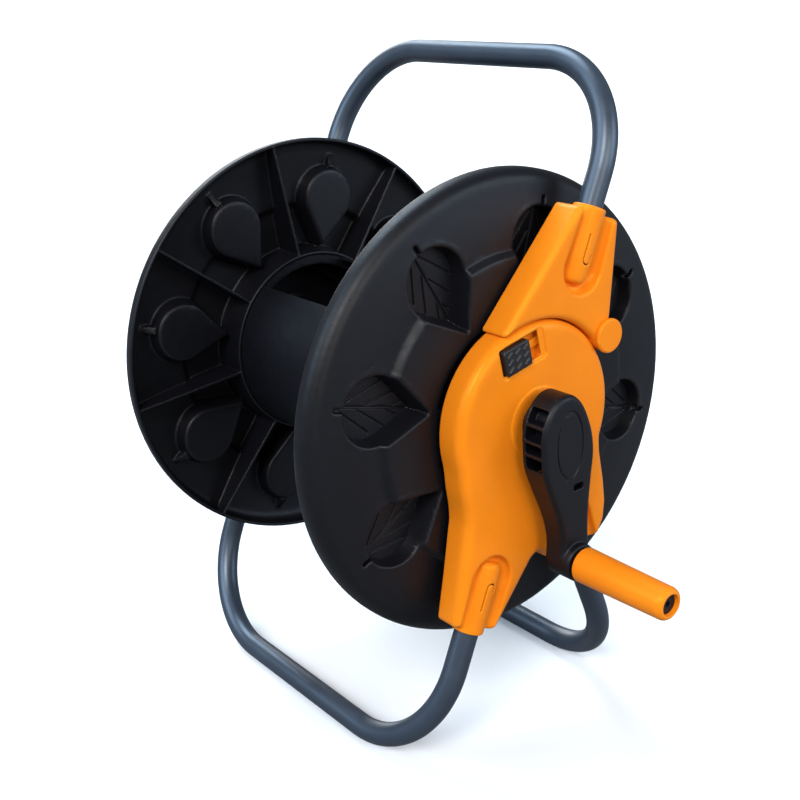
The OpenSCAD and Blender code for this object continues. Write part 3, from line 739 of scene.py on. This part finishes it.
def painted_tube():
    """Powder coat with a fine orange peel and a few dull patches."""
    finish, tree, shader = plain_nodes("tube_coat", (0.085, 0.11, 0.14), 0.3)
    place = tree.nodes.new("ShaderNodeTexCoord")
    patches = spread(tree, noise(tree, place, 30, 4), 0, 1)
    base = blend_colours(tree, patches, (0.021, 0.030, 0.046), (0.025, 0.035, 0.053))
    tree.links.new(base, shader.inputs["Base Color"])
    tree.links.new(spread(tree, noise(tree, place, 60, 5), 0.34, 0.42), shader.inputs["Roughness"])
    peel = bump(tree, noise(tree, place, 500, 2), 0.00002, 0.4)
    tree.links.new(peel, shader.inputs["Normal"])
    shader.inputs["Metallic"].default_value = 0.15
    shader.inputs["Specular IOR Level"].default_value = 1.0
    shader.inputs["Specular Tint"].default_value = (0.78, 0.90, 1.0, 1)
    return finish


def plated_steel():
    """Zinc plate with turning marks and dull spots."""
    finish, tree, shader = plain_nodes("zinc_plate", (0.55, 0.56, 0.58), 0.35)
    place = tree.nodes.new("ShaderNodeTexCoord")
    spots = spread(tree, noise(tree, place, 120, 4), 0, 1)
    base = blend_colours(tree, spots, (0.42, 0.43, 0.45), (0.62, 0.63, 0.65))
    tree.links.new(base, shader.inputs["Base Color"])
    tree.links.new(spread(tree, noise(tree, place, 900, 4), 0.25, 0.5), shader.inputs["Roughness"])
    marks = noise(tree, place, 700, 2, (1, 8, 1))
    tree.links.new(bump(tree, marks, 0.00005, 0.6), shader.inputs["Normal"])
    shader.inputs["Metallic"].default_value = 1.0
    return finish


TUBE = painted_tube()
STEEL = plated_steel()



# ------------------------------------------------------------------ pieces
def spun(p, degrees, centre=(0, 0)):
    """Points turned about the z axis and then moved to the centre."""
    x, y = turned(p[:, 0], p[:, 1], -degrees)
    return np.stack([centre[0] + x, centre[1] + y, p[:, 2]], 1)


# flanges, with a leaf blade set in each recess
disc = surface(flange_field, (-FLANGE_R, -FLANGE_R, -22), (FLANGE_R, FLANGE_R, PLATEAU), 1.0)
blade, blade_faces = surface(leaf_field, (80, -32, -7.6), (168, 32, -4.6), 0.5)
blades = [(spun(blade, LEAF_PHASE + 360 / LEAVES * k), blade_faces) for k in range(LEAVES)]
points, faces = merged(disc, *blades)
for side, place in SIDES:
    show(f"{side}_drum_disc", place(points), faces, "drum", BLACK, [f"{side}_flange"])

# side frames
frame_box = ((-92, -172, FRAME_BACK), (98, 82, 46))
points, faces = surface(frame_field, *frame_box, 0.7)
show("front_frame_moulding", front(points), faces, "stand", ORANGE, ["front_side_frame"])
points, faces = surface(lambda x, y, z: frame_field(x, y, z, back=True), *frame_box, 0.8)
show("rear_frame_moulding", rear(points), faces, "stand", ORANGE, ["rear_side_frame"])

# handle brackets
points, faces = surface(bracket_field, (-48, 22, BRACKET_BACK), (110, 168, 46), 0.65)
for side, place in SIDES:
    show(f"{side}_bracket_moulding", place(points), faces, "handle", ORANGE,
         [f"{side}_handle_bracket"])

# crank, its grip and the latch button
points, faces = surface(crank_field, (-28, -128, 47), (31, 31, 80), 0.5)
show("crank_moulding", front(points), faces, "drum", BLACK, ["crank_arm"])
bore = GRIP_PIN_R + GAP
grip = ([(bore, 82), (12.6, 82)] + arc(12.6, 83.9, 1.9, -80, 0, 5)
        + [(14.5 - 1.2 * t, 84 + 79 * t) for t in np.linspace(0.02, 1, 14)]
        + [(9.1 + 4.2 * math.cos(t), 163.6 + 5.4 * math.sin(t)) for t in np.linspace(0.1, 1.5, 9)]
        + [(8.8, 168.8), (8.6, 168.3), (8.6, 160), (bore, 160)])
points, faces = lathe(grip)
points = points + np.array([*GRIP, 0])
show("turning_grip", front(points), faces, "grip", ORANGE, ["grip_sleeve"], 50)
points, faces = surface(button_field, (-15.5, -12.5, 36), (15.5, 10.5, 46.2), 0.3)
points = spun(points, LATCH_ANGLE, LATCH)
show("latch_button", front(points), faces, "latch", BUTTON, ["latch_slider"])

# hinge covers, whose flat ends are one face each
cover = ([(13.6, 43.2), (14, 43.6)] + arc(13.4, 45.6, 0.6, 0, 50, 3)
         + arc(12.3, 46.1, 0.9, 50, 90, 4) + [(11.7, 47)])
points, (sides,) = lathe(cover)
turns = len(points) // len(cover)
bottom, top = np.arange(turns)[::-1], np.arange(len(points) - turns, len(points))
faces = [sides[:-turns], bottom[None, :], top[None, :]]
points = points + np.array([*HINGE, 0])
for side, place in SIDES:
    show(f"{side}_hinge_cover", place(points), faces, "stand", ORANGE,
         [f"{side}_hinge_cap"], 50)


# tubes, bent in the plane of the axis
def bent_tube(angle, start, reach, bend=88, legs=MIDDLE_Y - FRONT_RIM + TUBE_Z, wall=1.2, corners=56):
    """A U-shaped tube whose legs lie from start to reach, at an angle from +X towards +Z.

    Each leg is legs from the middle, and the bends between them have the radius bend."""
    line = [(start, -legs), (start + 4, -legs), (reach - bend, -legs)]
    line += [(reach - bend + bend * math.sin(t), -legs + bend - bend * math.cos(t))
             for t in np.linspace(0, math.pi / 2, 40)[1:]]
    line += [(reach, 0)]
    line += [(u, -y) for u, y in line[-2::-1]]
    line = np.array(line)
    slope = np.gradient(line, axis=0)
    slope /= np.linalg.norm(slope, axis=1)[:, None]
    across = np.stack([-slope[:, 1], slope[:, 0]], 1)
    ring = np.linspace(0, 2 * math.pi, corners, endpoint=False)
    rings = []
    stations = range(len(line))
    for r, order in ((TUBE_R, stations), (TUBE_R - wall, reversed(stations))):
        for i in order:
            u = line[i, 0] + across[i, 0] * r * np.cos(ring)
            y = line[i, 1] + across[i, 1] * r * np.cos(ring)
            rings.append(np.stack([u, y, r * np.sin(ring)], 1))
    p = np.concatenate(rings)
    c, s = math.cos(math.radians(angle)), math.sin(math.radians(angle))
    x, z = p[:, 0] * c - p[:, 2] * s, p[:, 0] * s + p[:, 2] * c
    return np.stack([x, MIDDLE_Y + p[:, 1], AXIS_Z + z], 1), [grid_faces(len(rings), corners, True)]


for name, body, node, angle, start, reach in (
        ("handle_tube", "handle", "handle_bow", HANDLE_ANGLE, 112, 283),
        ("left_foot_tube", "stand", "left_foot_bow", LEG_ANGLE - 180, 119, 297),
        ("right_foot_tube", "stand", "right_foot_bow", -LEG_ANGLE, 94, 297)):
    points, faces = bent_tube(angle, start, reach)
    show(name, points, faces, body, TUBE, [node], 60)


# barrel shells
def barrel_half(middle, half_span=58, thickness=3, half_length=150.4):
    """A curved shell round the direction middle, with its long edges chamfered."""
    arc_span = half_span - 0.4
    near, far = BARREL_R - 0.5, BARREL_R - thickness + 0.5
    outer = [(BARREL_R, a) for a in np.linspace(middle - arc_span, middle + arc_span, 61)]
    inner = [(BARREL_R - thickness, a) for a in np.linspace(middle + arc_span, middle - arc_span, 61)]
    edge = [(near, middle + half_span), (far, middle + half_span)]
    other = [(far, middle - half_span), (near, middle - half_span)]
    loop = [(r * math.cos(math.radians(a)), r * math.sin(math.radians(a)))
            for r, a in outer + edge + inner + other]
    stations = [-half_length, -118, -100, 0, 100, 118, half_length]
    p = np.array([(x, MIDDLE_Y + y, AXIS_Z + z) for y in stations for x, z in loop])
    n = len(loop)
    first, last = np.arange(n), np.arange(len(p) - n, len(p))[::-1]
    return p, [grid_faces(len(stations), n), first[None, :], last[None, :]]


for side, middle in (("left", 188), ("right", 8)):
    points, faces = barrel_half(middle)
    show(f"{side}_barrel_half", points, faces, "drum", BLACK, [f"{side}_barrel_shell"], 40)

# ------------------------------------------------------------------ small CAD nodes that stay
FINISHES = {"black_plastic": BLACK, "orange_plastic": ORANGE, "steel": STEEL, "seal_rubber": RUBBER,
            "tube_paint": TUBE}
for item in frame["record"]["subparts"]:
    obj = NODES[item["node"]]
    if obj.hide_render:
        continue
    obj.data.materials.clear()
    obj.data.materials.append(FINISHES[item["material_slot"]])
    weld = obj.modifiers.new("weld", "WELD")
    weld.merge_threshold = 0.00002
    soft = obj.modifiers.new("edges", "BEVEL")
    soft.width = 0.0003
    soft.segments = 2
    soft.limit_method = "ANGLE"
    soft.angle_limit = math.radians(40)
    soft.harden_normals = True

# ------------------------------------------------------------------ floor, light and camera
FLOOR = 90  # metres from the middle to the floor's edge
ground = bpy.data.meshes.new("floor")
ground.from_pydata([(-FLOOR, -FLOOR, 0), (FLOOR, -FLOOR, 0), (FLOOR, FLOOR, 0), (-FLOOR, FLOOR, 0)],
                   [], [(0, 1, 2, 3)])
floor = bpy.data.objects.new("floor", ground)
bpy.context.scene.collection.objects.link(floor)
paper, tree, shader = plain_nodes("pale_floor", (0.88, 0.88, 0.88), 0.9)
shader.inputs["Specular IOR Level"].default_value = 0.1
# darker for bounced light than for the camera, so that the floor doesn't light the undersides
ray = tree.nodes.new("ShaderNodeLightPath")
pale = blend_colours(tree, ray.outputs["Is Camera Ray"], (0.20, 0.20, 0.20), (0.9, 0.9, 0.9))
tree.links.new(pale, shader.inputs["Base Color"])
ground.materials.append(paper)

world = bpy.data.worlds.new("studio")
bpy.context.scene.world = world
world.use_nodes = True
tree = world.node_tree
sky = tree.nodes["Background"]
sky.inputs["Color"].default_value = (0.94, 0.97, 1.0, 1)
ray = tree.nodes.new("ShaderNodeLightPath")
tree.links.new(spread(tree, ray.outputs["Is Camera Ray"], 0.22, 1.05, 0, 1), sky.inputs["Strength"])


def soft_sun(name, towards, strength, spread_degrees, colour):
    """A broad soft light from the direction of the point (x, y, z), as even as a large studio panel."""
    light = bpy.data.lights.new(name, "SUN")
    light.energy = strength
    light.angle = math.radians(spread_degrees)
    light.color = colour
    obj = bpy.data.objects.new(name, light)
    bpy.context.scene.collection.objects.link(obj)
    obj.rotation_euler = Vector(towards).to_track_quat("Z", "Y").to_euler()


soft_sun("key", (-1.5, -1.0, 1.5), 2.3, 24, (0.97, 0.97, 1.0))
soft_sun("front", (-0.2, -1.6, 0.7), 1.25, 35, (1.0, 0.99, 0.97))
soft_sun("side", (-1.7, 0.6, 1.1), 2.0, 40, (0.62, 0.80, 1.0))
soft_sun("right", (0.6, -0.75, 0.3), 1.3, 35, (0.66, 0.80, 1.0))
soft_sun("back", (0.5, 1.5, 0.5), 1.2, 35, (1.0, 0.99, 0.97))
soft_sun("top", (0.1, 0.9, 1.3), 2.6, 35, (0.68, 0.84, 1.0))

CAMERA_AT = Vector((-0.6111, -0.7497, 0.6167))
CAMERA_BACK = Vector((-0.57627, -0.74353, 0.33923)).normalized()  # away from what it looks at
CAMERA_ROLL = math.radians(-2.07)
level = Vector((0, 0, 1)).cross(CAMERA_BACK).normalized()
upright = CAMERA_BACK.cross(level)
right = math.cos(CAMERA_ROLL) * level + math.sin(CAMERA_ROLL) * upright
up = -math.sin(CAMERA_ROLL) * level + math.cos(CAMERA_ROLL) * upright
lens = bpy.data.cameras.new("camera")
lens.lens = 53.74
lens.sensor_width = 36
lens.clip_end = 300
camera = bpy.data.objects.new("camera", lens)
bpy.context.scene.collection.objects.link(camera)
facing = Matrix((right, up, CAMERA_BACK)).transposed()
camera.matrix_world = Matrix.Translation(CAMERA_AT) @ facing.to_4x4()
bpy.context.scene.camera = camera
bpy.context.scene.view_settings.view_transform = "Standard"
